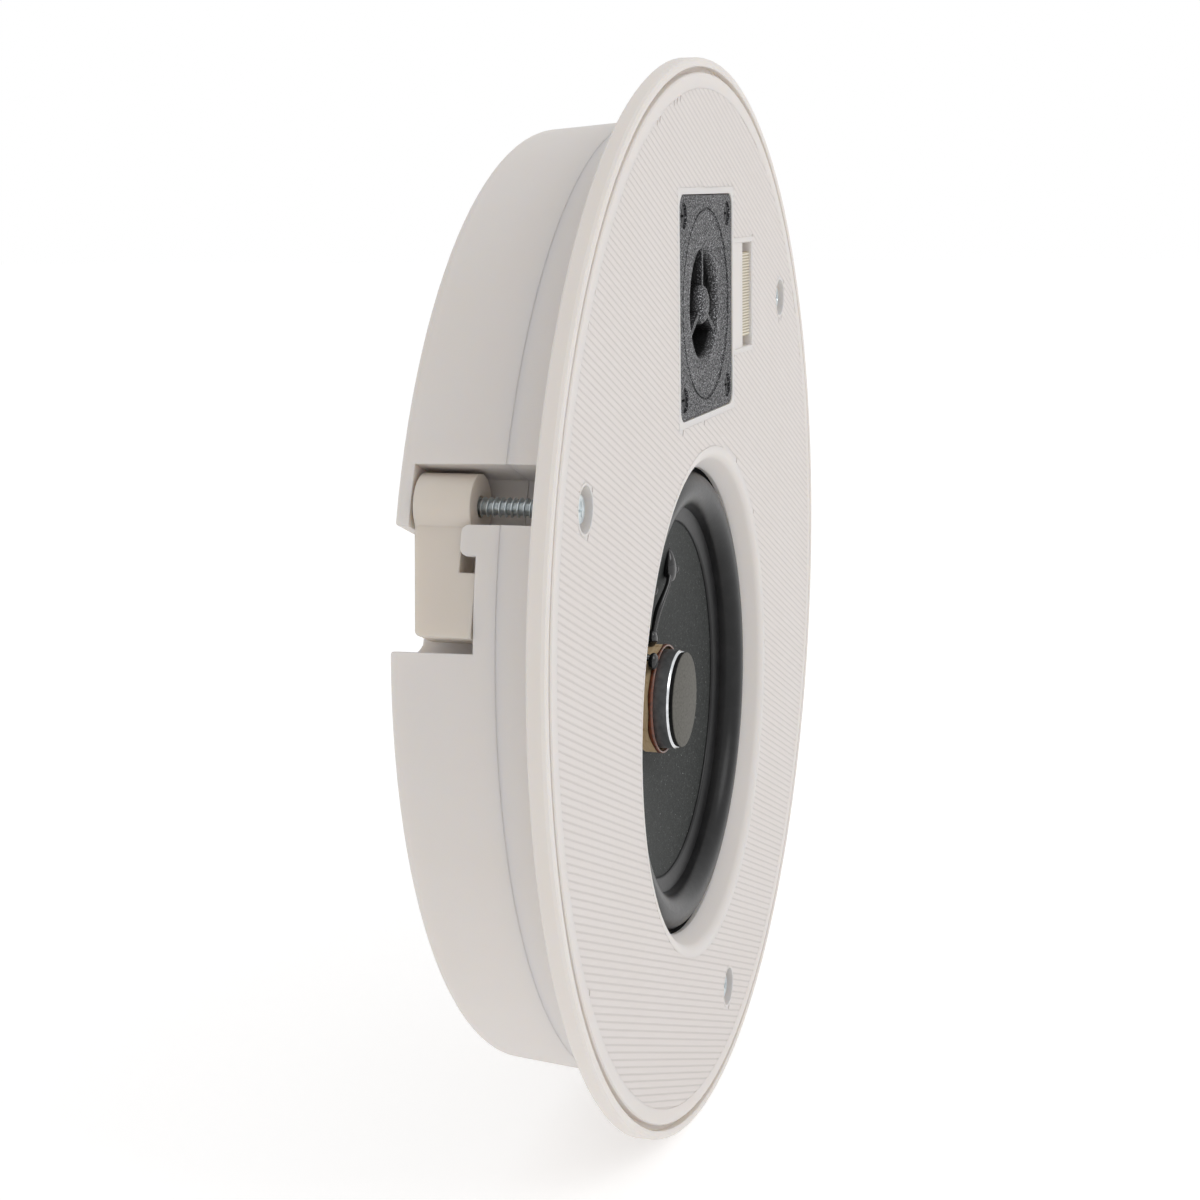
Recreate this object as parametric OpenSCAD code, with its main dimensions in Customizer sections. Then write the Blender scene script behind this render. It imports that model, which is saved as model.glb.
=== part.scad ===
// Built-in two-way speaker for a ceiling or a wall, with a closed plastic housing.
// Modelled upright: the front faces -Y, the housing runs towards +Y, +Z is up.
// The origin is on the speaker's axis, in the plane of the panel that it is fixed to.
// Every module below is drawn lying down, with its front towards +Z, and upright() stands it up.

/* [Front] */
// Outer radius of the round flange
flange_r = 125; // [120:1:135]
// Thickness of the flange in front of the panel
flange_t = 4; // [3.5:0.5:5]
// Radius of the flat disc inside the grille groove
disc_r = 121.7; // [118:0.1:122]
// Width of the grille groove
groove_w = 1.3; // [1:0.1:1.8]
// Depth of the grille groove
groove_d = 1.8; // [1:0.1:2.2]
// Thickness of the moulded plate
plate_t = 3; // [2.5:0.5:3]

/* [Housing] */
// Radius of the collar that passes through the panel
collar_r = 111.5; // [108:0.5:112]
// Depth of the collar behind the flange
collar_d = 10.5; // [9:0.5:12]
// Depth of the whole housing behind the flange
housing_d = 33.5; // [33:0.5:38]
// Radius of the housing at its back
housing_back_r = 109.9; // [106:0.1:111]
// Wall of the housing and the collar
wall = 2.8; // [2.4:0.1:3]
// Corner radius at the back of the housing
back_round = 3; // [1.5:0.5:4]

/* [Clamps] */
// Radius at which the clamp screws stand
hinge_r = 104.5; // [103:0.5:105]
// Direction of the first clamp, seen from the front
first_clamp_a = 160; // [155:1:165]
// Radius of a clamp's barrel
barrel_r = 6.4; // [6:0.1:6.5]
// Length of a clamp's arm from the screw's axis
arm_len = 26.5; // [24:0.5:27]
// Depth of the barrel's front face behind the flange
barrel_top = 17.3; // [17:0.1:18]
// Length of the barrel along the screw
barrel_len = 11.7; // [10:0.1:12]
// Diameter of the clamp screws
clamp_screw_d = 4.2; // [3.9:0.1:4.4]

/* [Woofer] */
// Height of the woofer's axis above the speaker's axis
woofer_y = -24.5; // [-26:0.1:-24]
// Radius of the opening where its rounded edge begins
opening_r = 60.4; // [58:0.1:61]
// Radius of the surround's crest
crest_r = 50.7; // [50:0.1:51]
// Radius of the surround's roll
roll_r = 4.5; // [4:0.1:4.6]
// Outer radius of the cone
cone_r = 46.2; // [45:0.1:46.2]
// Outer radius of the coil former
former_r = 13.0; // [12.8:0.1:13.3]
// Radius of the steel basket's flange
basket_r = 67.5; // [67:0.5:68]

/* [Tweeter] */
// Height of the tweeter's axis above the speaker's axis
tweeter_y = 69.6; // [68:0.1:70]
// Side of the square face plate
tweeter_side = 49.8; // [48:0.1:50]
// Radius of the horn's throat
throat_r = 12.1; // [11.8:0.1:12.4]
// Radius of the phase plug in the throat
plug_r = 4.4; // [4:0.1:5]

/* [Level switch] */
// Length of the ribbed slider
slider_len = 20.6; // [18:0.1:21]
// Width of the ribbed slider
slider_w = 8.2; // [7:0.1:8.4]
// Travel of the slider to each side
slider_travel = 2.2; // [2:0.1:2.3]

/* [Hidden] */
$fn = 96;

ivory = [0.85, 0.83, 0.80];
steel = [0.62, 0.63, 0.64];
black_plastic = [0.10, 0.10, 0.11];
copper = [0.72, 0.40, 0.20];

eps = 0.01;
inner_r = collar_r - wall;
plate_back = flange_t - plate_t;
floor_z = wall - 0.3 - housing_d;
cavity_r = housing_back_r - wall;
rim_gap = 0.1;
clamp_angles = [first_clamp_a, first_clamp_a - 120, first_clamp_a - 240];
screw_r = clamp_screw_d / 2;
head_r = 3.6;
barrel_bottom = barrel_top + barrel_len;

// Outline of a clamp's pocket, in its own frame: x is radial, y runs anticlockwise round the rim
pocket_floor = 96.8;
pocket_wall = 2.4;
slot_low = -7.1;
slot_high = 4.8;
pocket_end = 29.3;
slot_front = -15.2;
ear_z = -29.8;
ear_end = 5.3;
ear_round = 2;
corner_round = 1.2;
step_in = 86.5;
step_z = -29.2;
hook_in = 109.1;
hook_end = 10.8;
hook_z = -18.6;
hook_round = 1.6;
arm_front = slot_front - 0.3;
arm_back = -28.9;
arm_tip = -26.9;
tip_round = 1.2;
arm_in = -3.6;
arm_out = 4.1;
notch_z = hook_z - 0.4;
notch_end = 13.8;

// Screws that join the housing to the front
joint_screw_angles = [for (a = clamp_angles) for (d = [-30, -75]) a + d];
joint_screw_r = 101;
joint_head_z = -19;

// Heights of the woofer's layers, front to back
seat_z = -2;
gasket_z = -3.5;
basket_z = -4;
sheet = 1.2;
roll_z = -4.1;
former_top = -6.8;
plug_face = -3.1;
pad_t = 1.05;
neck_z = -12;
spider_z = -14.6;
pot_z = -18.4;
plate_h = 3;
magnet_h = 6;
coil_gap = 14.3;
woofer_screw_r = 63.6;
woofer_screw_angles = [45, 135, 225, 315];

// Heights of the tweeter's layers
plate_z = 3.75;
lip_z = 3.1;
vane_z = -2.0;
plug_top = 4.0;
cap_h = 1.5;
cap_r = (plug_r * plug_r + cap_h * cap_h) / (2 * cap_h);
dome_z = -4.2;
throat_z = dome_z - 0.2;
pole_z = -7;
tweeter_hole = 21;
tweeter_screw_at = 20.4;

// Level switch
recess = [27.9, 57.0, 18.1, 25.8];
recess_z = 3.65;
slider_top = 3.3;
field_d = 0.2;
field_edge = 3.5;
slider_x = 41.6;
slider_y = 69.9;
slot_len = slider_len + 2 * slider_travel + 0.4;

terminal_at = [-50, 40];
terminal_w = 34;
terminal_h = 26;
board_at = [56, 30];
board_z = -27.2;
board_t = 1.6;
cable_end = board_z + board_t + 0.05;

module upright() {
    rotate([90, 0, 0]) children();
}

module at_clamp(i) {
    rotate([0, 0, clamp_angles[i]]) children();
}

module at_woofer() {
    translate([0, woofer_y, 0]) children();
}

module at_tweeter() {
    translate([0, tweeter_y, 0]) children();
}

// A rod along z between two heights
module rod(r, z0, z1) {
    translate([0, 0, z0]) cylinder(r = r, h = z1 - z0);
}

// A ring along z between two heights
module ring(r_out, r_in, z0, z1) {
    rotate_extrude() translate([r_in, z0]) square([r_out - r_in, z1 - z0]);
}

// A box from one corner to the other
module box(a, b) {
    translate(a) cube([b[0] - a[0], b[1] - a[1], b[2] - a[2]]);
}

// A square plate with round corners
module rounded_plate(side, r, z0, z1) {
    h = side / 2 - r;
    translate([0, 0, z0]) linear_extrude(z1 - z0) union() {
        square([side, 2 * h], center = true);
        square([2 * h, side], center = true);
        for (x = [-h, h], y = [-h, h]) translate([x, y]) circle(r = r, $fn = 32);
    }
}

// Points on an arc, for outlines
function arc(cx, cy, r, a0, a1, n = 12) =
    [for (i = [0 : n]) let (a = a0 + (a1 - a0) * i / n) [cx + r * cos(a), cy + r * sin(a)]];

// A straight round bar from one point to another
module strut(a, b, r) {
    d = b - a;
    translate(a) rotate([0, acos(d[2] / norm(d)), atan2(d[1], d[0])])
        cylinder(r = r, h = norm(d), $fn = 32);
}

// A round wire swept along a line of points, closed at both ends
function unit(v) = v / norm(v);
function heading(p, i) =
    i == 0 ? unit(p[1] - p[0])
    : i == len(p) - 1 ? unit(p[i] - p[i - 1])
    : unit(unit(p[i] - p[i - 1]) + unit(p[i + 1] - p[i]));
module wire(points, d, sides = 8) {
    n = len(points);
    up = [0.12, 0.21, 0.97];
    verts = [for (i = [0 : n - 1])
        let (t = heading(points, i), u = unit(cross(t, up)), v = cross(t, u))
        for (k = [0 : sides - 1])
            points[i] + d / 2 * (u * cos(360 * k / sides) + v * sin(360 * k / sides))];
    skin = [for (i = [0 : n - 2], k = [0 : sides - 1])
        let (a = i * sides + k, b = i * sides + (k + 1) % sides)
        each [[a, b, b + sides], [a, b + sides, a + sides]]];
    caps = [[for (k = [sides - 1 : -1 : 0]) k],
        [for (k = [0 : sides - 1]) (n - 1) * sides + k]];
    polyhedron(points = verts, faces = concat(skin, caps), convexity = 6);
}

// Outside of the housing, a short cone with a round back edge
module housing_form() {
    rotate_extrude($fn = 180) polygon(concat(
        [[0, -collar_d], [collar_r, -collar_d]],
        arc(housing_back_r - back_round, back_round - housing_d, back_round, 0, -90, 8),
        [[0, -housing_d]]));
}

// Full-depth slot that holds a clamp's barrel and its screw
module pocket_slot(grow, z0, z1) {
    box([pocket_floor - grow, slot_low - grow, z0], [130, slot_high + grow, z1]);
}

// Deeper pocket that the folded arm lies in, open to the back
module pocket_rest(grow, z1) {
    box([pocket_floor - grow, ear_end, -housing_d - 1], [130, pocket_end + grow, z1]);
}

// An outline drawn in y and z, pushed along x
module along_x(x0, x1, outline) {
    translate([x0, 0, 0]) rotate([90, 0, 90]) linear_extrude(x1 - x0) polygon(outline);
}

// A block with round corners towards the back
module round_tab(x0, x1, y0, y1, z0, z1, r) {
    along_x(x0, x1, concat(
        [[y1, z1], [y0, z1]], arc(y0 + r, z0 + r, r, 180, 270, 8), arc(y1 - r, z0 + r, r, 270, 360, 8)));
}

// Outline of the step in the back behind a folded arm, which runs out in a round end
function pocket_step() = let (r = step_z + housing_d) concat(
    [[ear_end, -housing_d - 1], [ear_end, step_z]],
    arc(pocket_end - r, -housing_d, r, 90, 10, 8),
    [[pocket_end - 0.1, -housing_d - 1]]);

// All that is cut away for one clamp, in the clamp's own frame
module clamp_pocket() {
    pocket_slot(0, ear_z, 1);
    difference() {
        along_x(pocket_floor, 130, concat(
            [[pocket_end + corner_round, -housing_d - 1]],
            arc(pocket_end + corner_round, corner_round - housing_d, corner_round, 260, 180, 6),
            [[pocket_end, slot_front], [slot_high - 1, slot_front],
                [slot_high - 1, ear_z], [ear_end, ear_z]],
            arc(ear_end - ear_round, ear_round - housing_d, ear_round, 0, -80, 8),
            [[ear_end - ear_round, -housing_d - 1]]));
        round_tab(hook_in, 131, slot_high, hook_end, hook_z, slot_front + 1, hook_round);
    }
    along_x(step_in, pocket_floor + 1, pocket_step());
    translate([hinge_r, 0, 0]) rod(screw_r + 0.05, ear_z - 2.6, ear_z + 1);
}

// Outline of the field of fine grooves on the front, inside its smooth margins
module grooved_field() {
    difference() {
        circle(r = disc_r - field_edge, $fn = 180);
        translate([0, woofer_y]) circle(r = opening_r + 0.5, $fn = 180);
        translate([0, tweeter_y]) square(tweeter_side + 3.4, center = true);
        translate([recess[0] - 4, recess[1] - 1.2]) square([recess[2] + 5.2, recess[3] + 2.4]);
        for (a = clamp_angles) rotate(a) translate([hinge_r, 0]) circle(r = head_r + 1.6);
    }
}

module front_baffle() color(ivory) upright() difference() {
    union() {
        rotate_extrude($fn = 180) polygon([
            [0, flange_t], [disc_r - 0.3, flange_t], [disc_r, flange_t - 0.3],
            [disc_r, flange_t - groove_d], [disc_r + groove_w, flange_t - groove_d],
            [disc_r + groove_w, flange_t - 0.2], [disc_r + groove_w + 0.3, flange_t],
            [flange_r - 0.8, flange_t], [flange_r - 0.2, flange_t - 0.3],
            [flange_r, flange_t - 1], [flange_r, 0.4], [flange_r - 0.4, 0],
            [collar_r, 0], [collar_r, -collar_d], [inner_r, -collar_d],
            [inner_r, plate_back], [0, plate_back]]);
        at_woofer() rod(basket_r + 2, seat_z, plate_back + eps);
        at_woofer() for (a = woofer_screw_angles) rotate([0, 0, a])
            translate([woofer_screw_r, 0, 0]) rod(3, basket_z, seat_z + eps);
        at_tweeter() rounded_plate(tweeter_side + 5, 5, -1.6, plate_back + eps);
        for (i = [0 : 2]) at_clamp(i) {
            intersection() {
                pocket_slot(pocket_wall, -collar_d, plate_back + eps);
                rod(collar_r - 0.4, -collar_d, plate_back + eps);
            }
        }
        for (a = joint_screw_angles) rotate([0, 0, a]) translate([joint_screw_r, 0, 0])
            rod(3.8, -collar_d, plate_back + eps);
        translate([slider_x - 8, slider_y - 16, -1]) cube([16, 32, 1 + plate_back + eps]);
    }
    at_woofer() rotate_extrude($fn = 180) polygon(concat(
        [[0, -6], [opening_r - 4.6, -6], [opening_r - 4.6, -1]],
        arc(opening_r, flange_t - 3, 3, 150, 90, 8),
        [[opening_r, flange_t + 1], [0, flange_t + 1]]));
    at_woofer() for (a = woofer_screw_angles) rotate([0, 0, a])
        translate([woofer_screw_r, 0, 0]) rod(1.45, basket_z - 1, 1.2);
    at_tweeter() {
        rounded_plate(tweeter_side + 0.4, 3.2, plate_back, flange_t + 1);
        rod(tweeter_hole, -3, flange_t);
        for (x = [-1, 1], y = [-1, 1]) translate([x, y, 0] * tweeter_screw_at) rod(1.05, -0.9, 2);
    }
    for (i = [0 : 2]) at_clamp(i) {
        pocket_slot(0, -collar_d - 1, 0);
        translate([hinge_r, 0, 0]) rod(screw_r + 0.15, -1, flange_t + 1);
        translate([hinge_r, 0, 0]) rod(head_r + 1.1, flange_t - 2.6, flange_t + 1);
    }
    for (a = joint_screw_angles) rotate([0, 0, a]) translate([joint_screw_r, 0, 0])
        rod(1.3, -collar_d - 1, -0.5);
    translate([0, 0, flange_t - field_d]) linear_extrude(1) grooved_field();
    translate([recess[0], recess[1], recess_z]) cube([recess[2], recess[3], 2]);
    translate([slider_x - slider_w / 2 - 0.2, slider_y - slot_len / 2, 1.2])
        cube([slider_w + 0.4, slot_len, 4]);
    translate([slider_x - 1.7, slider_y - 6.5, -2]) cube([3.4, 13, 5]);
}

module rear_housing() color(ivory) upright() difference() {
    union() {
        difference() {
            housing_form();
            rotate_extrude($fn = 180) polygon([
                [0, floor_z], [cavity_r - 1.2, floor_z], [cavity_r, floor_z + 1.2],
                [cavity_r + 0.4, -collar_d + 1], [0, -collar_d + 1]]);
        }
        intersection() {
            rod(housing_back_r - 0.5, floor_z - 0.5, -collar_d - rim_gap);
            for (i = [0 : 2]) at_clamp(i) {
                pocket_slot(pocket_wall, -housing_d, -collar_d);
                pocket_rest(pocket_wall, slot_front + pocket_wall);
                box([step_in - pocket_wall, ear_end - pocket_wall, -housing_d],
                    [pocket_floor, pocket_end + pocket_wall, step_z + pocket_wall]);
            }
        }
        for (a = joint_screw_angles) rotate([0, 0, a]) translate([joint_screw_r, 0, 0])
            rod(4.6, -housing_d + 1, -collar_d);
        translate([terminal_at[0], terminal_at[1], 0])
            box([-terminal_w / 2 - 2, -terminal_h / 2 - 2, floor_z - 1],
                [terminal_w / 2 + 2, terminal_h / 2 + 2, -19]);
        translate([board_at[0], board_at[1], 0])
            for (x = [-19, 19], y = [-13, 13]) translate([x, y, 0]) rod(2.6, floor_z - 1, board_z);
    }
    for (i = [0 : 2]) at_clamp(i) clamp_pocket();
    for (a = joint_screw_angles) rotate([0, 0, a]) translate([joint_screw_r, 0, 0]) {
        rod(1.7, -housing_d - 1, -collar_d + 1);
        rod(3.4, -housing_d - 1, joint_head_z);
    }
    translate([terminal_at[0], terminal_at[1], 0]) {
        box([-terminal_w / 2, -terminal_h / 2, -housing_d - 1], [terminal_w / 2, terminal_h / 2, -21]);
        box([-12, -4, -22], [12, 4, -18]);
    }
    translate([board_at[0], board_at[1], 0])
        for (x = [-19, 19], y = [-13, 13]) translate([x, y, 0]) rod(1.1, board_z - 4, board_z + 1);
}

module housing_seal() color([0.15, 0.15, 0.15]) upright() difference() {
    ring(inner_r - 0.1, inner_r - 2.6, -collar_d, -collar_d + 2);
    for (i = [0 : 2]) at_clamp(i) pocket_slot(pocket_wall + 0.1, -collar_d - 1, 0);
    for (a = joint_screw_angles) rotate([0, 0, a]) translate([joint_screw_r, 0, 0])
        rod(3.9, -collar_d - 1, 0);
}

module housing_screws() color(steel) upright()
    for (a = joint_screw_angles) rotate([0, 0, a]) translate([joint_screw_r, 0, 0]) union() {
        rod(2.9, joint_head_z - 2, joint_head_z);
        rod(1.25, joint_head_z - 1, -1.5);
    }

module clamp_arm(i) color(ivory) upright() at_clamp(i) translate([hinge_r, 0, 0]) difference() {
    union() {
        rod(barrel_r, -barrel_bottom, -barrel_top);
        along_x(arm_in, arm_out, concat(
            [[arm_len, arm_front], [0, arm_front], [0, arm_back], [barrel_r, arm_back]],
            arc(arm_len - tip_round, arm_tip + tip_round, tip_round, 265, 360, 8)));
    }
    rod(screw_r + 0.05, -barrel_bottom - 1, -barrel_top + 1);
    difference() {
        box([-8, -1, notch_z], [9, notch_end, 0]);
        rod(barrel_r + 0.02, -barrel_bottom, -barrel_top);
    }
}

module clamp_screw(i) color(steel) upright() at_clamp(i) translate([hinge_r, 0, 0]) difference() {
    union() {
        rod(screw_r, ear_z - 2.4, flange_t - 2);
        translate([0, 0, flange_t - 2.6]) cylinder(r1 = head_r, r2 = head_r - 0.4, h = 1.7);
    }
    rotate([0, 0, 20]) box([-2.3, -0.45, flange_t - 2.1], [2.3, 0.45, flange_t]);
    rotate([0, 0, 20]) box([-0.45, -2.3, flange_t - 2.1], [0.45, 2.3, flange_t]);
}

module woofer_basket() color(steel) upright() at_woofer() difference() {
    rotate_extrude($fn = 180) polygon([
        [basket_r, basket_z], [basket_r, basket_z - sheet], [57.6, basket_z - sheet],
        [56.0, -8.8], [38.0, spider_z - sheet], [33.4, spider_z - sheet], [31.9, pot_z],
        [15.5, pot_z], [15.5, pot_z + sheet], [31.0, pot_z + sheet], [32.5, spider_z],
        [37.5, spider_z], [55.0, -8.0], [56.4, basket_z]]);
    for (a = [0 : 60 : 300]) rotate([0, 0, a + 30]) intersection() {
        ring(52.5, 40.5, -20, 0);
        rotate([0, 0, -19]) box([0, 0, -20], [60, 60, 0]);
        rotate([0, 0, -71]) box([0, 0, -20], [60, 60, 0]);
    }
    for (a = woofer_screw_angles) rotate([0, 0, a])
        translate([woofer_screw_r, 0, 0]) rod(1.8, -8, 0);
}

module woofer_gasket() color([0.12, 0.12, 0.12]) upright() at_woofer()
    ring(60.3, opening_r - 4.6 + 0.3, gasket_z, seat_z);

module woofer_surround() color([0.22, 0.22, 0.23]) upright() at_woofer()
    rotate_extrude($fn = 180) polygon(concat(
        [[60.2, basket_z], [60.2, gasket_z]],
        [[crest_r + roll_r, gasket_z]],
        arc(crest_r, roll_z, roll_r, 7, 173, 16),
        [[cone_r, roll_z - 0.3], [42.7, -5.9], [42.7, -6.4], [cone_r, -5.0]],
        arc(crest_r, roll_z, roll_r - 0.7, 176, 4, 16),
        [[crest_r + roll_r - 0.7, basket_z]]));

module woofer_cone() color([0.23, 0.25, 0.25]) upright() at_woofer()
    rotate_extrude($fn = 180) polygon([
        [cone_r, -5.02], [42.7, -6.42], [former_r + 1.2, neck_z + 0.3], [former_r, neck_z + 1.2],
        [former_r, neck_z - 0.8], [42.7, -7.22], [cone_r, -5.82]]);

module coil_former() color([0.78, 0.68, 0.52]) upright() at_woofer()
    ring(former_r, former_r - 0.35, -23.5, former_top);

module voice_coil() color(copper) upright() at_woofer() ring(former_r + 0.55, former_r, -22.9, -16.9);

module woofer_spider() color([0.75, 0.62, 0.30]) upright() at_woofer()
    rotate_extrude($fn = 120) polygon(concat(
        [for (r = [former_r, 16]) [r, spider_z + 0.5]],
        [for (i = [0 : 32]) [17 + i * 0.46875, spider_z + 0.5 + 0.8 * sin(i * 90)]],
        [for (r = [33, 36.8]) [r, spider_z + 0.5]],
        [for (r = [36.8, 33]) [r, spider_z]],
        [for (i = [32 : -1 : 0]) [17 + i * 0.46875, spider_z + 0.8 * sin(i * 90)]],
        [for (r = [16, former_r]) [r, spider_z]]));

// Glue dots and the leads that run in on the cone's face to the former
module coil_leads() color([0.08, 0.08, 0.08]) upright() at_woofer() for (s = [-1, 1]) {
    start = [s * 10.6, 29.5, -8.7];
    joint = [s * 8.25, 12.0, -9.6];
    difference() {
        union() {
            translate(start) sphere(r = 1.7, $fn = 32);
            translate(joint) sphere(r = 1.6, $fn = 32);
            strut(start, joint, 0.55);
        }
        behind_cone_face();
    }
}

// All that lies on or behind the cone's front face and inside the former
module behind_cone_face() {
    face = 0.02;
    rotate_extrude($fn = 180) polygon([
        [0, -30], [0, 0], [former_r + face, 0], [former_r + face, neck_z + 1.2 + face],
        [former_r + 1.2, neck_z + 0.3 + face], [42.7, face - 6.42], [42.7, -30]]);
}

module tinsel_leads() color(copper) upright() at_woofer() for (s = [-1, 1])
    wire([[s * 10.6, 29.5, -9.75], [s * 10.4, 30.6, -10.9], [s * 9.8, 34, -11.9], [s * 9, 38, -12.3],
        [s * 8, 42.5, -12.9], [s * 6.8, 47, -13.1], [s * 5, 53, -11.4], [s * 4.4, 58, -8.6],
        [s * 4.4, 59.4, -7.0]], 1.0);

module woofer_terminals() color([0.45, 0.30, 0.16]) upright() at_woofer() {
    box([-9, 58.4, basket_z - sheet - 1.6], [9, 65.6, basket_z - sheet]);
    for (s = [-1, 1]) box([s * 4.4 - 1.6, 60.4, basket_z - sheet - 4.6],
        [s * 4.4 + 1.6, 61.2, basket_z - sheet - 1.6]);
}

module top_plate() color(steel) upright() at_woofer() ring(31, coil_gap, pot_z - plate_h, pot_z);

module ferrite_magnet() color([0.16, 0.16, 0.17]) upright() at_woofer()
    ring(34, 16.5, pot_z - plate_h - magnet_h, pot_z - plate_h);

module yoke() color(steel) upright() at_woofer() difference() {
    union() {
        rod(31, pot_z - 2 * plate_h - magnet_h, pot_z - plate_h - magnet_h);
        rod(former_r - 0.8, pot_z - plate_h - magnet_h - 1, -9);
    }
    rod(3, -14, -8);
}

// Turned plug on the pole, with a bright chamfer round its face
module phase_plug() color([0.30, 0.31, 0.32]) upright() at_woofer() rotate_extrude() polygon([
    [0, plug_face], [former_r - 1.5, plug_face], [former_r - 1.1, plug_face - 0.7],
    [former_r - 1.1, -9], [2.95, -9], [2.95, -13.5], [0, -13.5]]);

module plug_pad() color([0.44, 0.42, 0.39]) upright() at_woofer()
    rod(former_r - 1.6, plug_face, plug_face + pad_t);

module woofer_screws() color(steel) upright() at_woofer() for (a = woofer_screw_angles)
    rotate([0, 0, a]) translate([woofer_screw_r, 0, 0]) union() {
        rod(2.8, basket_z - sheet - 1.8, basket_z - sheet);
        rod(1.4, basket_z - sheet - 1, 0.6);
    }

module tweeter_faceplate() color([0.29, 0.29, 0.30]) upright() at_tweeter() difference() {
    union() {
        difference() {
            union() {
                rounded_plate(tweeter_side, 3, plate_back, plate_z);
                rod(tweeter_hole - 0.5, throat_z, plate_back + eps);
            }
            rotate_extrude() polygon(concat(
                [[0, plate_z + 1], [21.3, plate_z + 1], [21.3, plate_z - 0.15]],
                arc(throat_r + 2, lip_z - 2 + 0.15, 2, 84, 180, 10),
                [[throat_r, throat_z - 1], [0, throat_z - 1]]));
            ring(22, 21.5, plate_z - 0.4, plate_z + 1);
        }
        rotate_extrude() polygon(concat(
            [[0, vane_z - 0.4], [plug_r + 0.5, vane_z - 0.4]],
            arc(0, plug_top - cap_r, cap_r, acos(plug_r / cap_r), 90, 8)));
        for (a = [90, 210, 330]) rotate([0, 0, a])
            box([plug_r - 1.5, -0.65, vane_z], [throat_r + 0.6, 0.65, lip_z - 0.3]);
    }
    for (x = [-1, 1], y = [-1, 1]) translate([x, y, 0] * tweeter_screw_at) {
        rod(1.3, -3, 5);
        rod(2.9, plate_z - 1.6, 5);
    }
}

module tweeter_screws() color(black_plastic) upright() at_tweeter()
    for (x = [-1, 1], y = [-1, 1]) translate([x, y, 0] * tweeter_screw_at) difference() {
        union() {
            rod(2.5, plate_z - 1.6, plate_z - 0.5);
            rod(1.0, -0.7, plate_z - 1.5);
        }
        box([-1.5, -0.3, plate_z - 1.1], [1.5, 0.3, plate_z]);
        box([-0.3, -1.5, plate_z - 1.1], [0.3, 1.5, plate_z]);
    }

module tweeter_dome() color([0.12, 0.12, 0.13]) upright() at_tweeter() rotate_extrude() polygon(concat(
    arc(0, dome_z - 10.2, 11.6, 61.5, 90, 10),
    arc(0, dome_z - 10.2, 11.4, 90, 61.5, 10),
    [[6.2, dome_z - 2.2], [6.45, dome_z - 2.2], [6.45, dome_z - 0.2]]));

module tweeter_coil() color(copper) upright() at_tweeter()
    ring(6.45, 6.15, dome_z - 5, dome_z - 2.2);

module tweeter_suspension() color([0.12, 0.12, 0.13]) upright() at_tweeter()
    rotate_extrude() polygon(concat(
        [[13, throat_z - 0.2], [13, throat_z], [9, throat_z]],
        arc(7.8, throat_z - 0.1, 1.2, 10, 170, 8), [[6.46, throat_z], [6.46, throat_z - 0.3]],
        arc(7.8, throat_z - 0.2, 1.0, 170, 10, 8)));

module tweeter_spacer() color(black_plastic) upright() at_tweeter() rotate_extrude() polygon([
    [10.2, pole_z], [16, pole_z], [16, throat_z], [13.1, throat_z], [13.1, throat_z - 0.2],
    [10.2, throat_z - 0.2]]);

module tweeter_plate() color(steel) upright() at_tweeter() ring(15, 6.8, pole_z - 2.6, pole_z);

module tweeter_magnet() color([0.55, 0.55, 0.56]) upright() at_tweeter()
    ring(15.5, 8.5, pole_z - 7.6, pole_z - 2.6);

module tweeter_yoke() color(steel) upright() at_tweeter() union() {
    rod(15, pole_z - 9.8, pole_z - 7.6);
    rod(5.8, pole_z - 8, pole_z);
}

module level_slider() color(ivory) upright() translate([slider_x, slider_y, 0]) union() {
    box([-slider_w / 2, -slider_len / 2, 1.4], [slider_w / 2, slider_len / 2, slider_top]);
    box([-1.5, -2, -4.5], [1.5, 2, 1.5]);
    for (i = [-14 : 14]) translate([0, i * 0.7, slider_top])
        box([-slider_w / 2, -0.16, -0.1], [slider_w / 2, 0.16, 0.25]);
}

module level_switch() color([0.35, 0.36, 0.38]) upright() translate([slider_x, slider_y, 0])
    difference() {
        box([-5, -12, -9], [5, 12, -1]);
        box([-1.9, -4.6, -5.2], [1.9, 4.6, 0]);
    }

module crossover_board() color([0.15, 0.35, 0.20]) upright()
    translate([board_at[0], board_at[1], board_z]) difference() {
        box([-22, -16, 0], [22, 16, board_t]);
        for (x = [-19, 19], y = [-13, 13]) translate([x, y, 0]) rod(1.5, -1, 3);
    }

module crossover_inductor() color(copper) upright() translate([board_at[0] - 9, board_at[1], board_z + board_t])
    ring(8.5, 3, 0, 9);

module crossover_capacitor() color([0.10, 0.12, 0.20]) upright()
    translate([board_at[0] + 10, board_at[1] + 7, board_z + 6.6]) rotate([0, 90, 0])
        translate([0, 0, -9]) cylinder(r = 5, h = 18, $fn = 48);

module crossover_resistor() color([0.85, 0.85, 0.82]) upright()
    translate([board_at[0] + 10, board_at[1] - 8, board_z + board_t]) box([-9, -3, 0], [9, 3, 6]);

module tweeter_cable() color([0.12, 0.12, 0.12]) upright()
    wire([[17.4, 66, -9.5], [19.5, 64, -12.5], [24, 59, -16], [31, 52, -19.5], [38, 45.5, -22],
        [42, 42, -24.2], [42, 42, cable_end]], 2.6);

module switch_cable() color([0.12, 0.12, 0.12]) upright()
    wire([[43, 60, -9.05], [43, 60, -10.8], [44, 57.5, -13], [47, 52.5, -17], [51, 46, -21],
        [53, 43, -24.2], [53, 43, cable_end]], 2.6);

module woofer_cable() color([0.12, 0.12, 0.12]) upright()
    wire([[0, 36.4, -8], [1.5, 37.4, -11.5], [6, 38.2, -15], [14, 38, -18.5], [24, 36.6, -21.5],
        [32, 33.6, -22.6], [36.3, 31, -24.2], [36.3, 31, cable_end]], 2.6);

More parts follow.
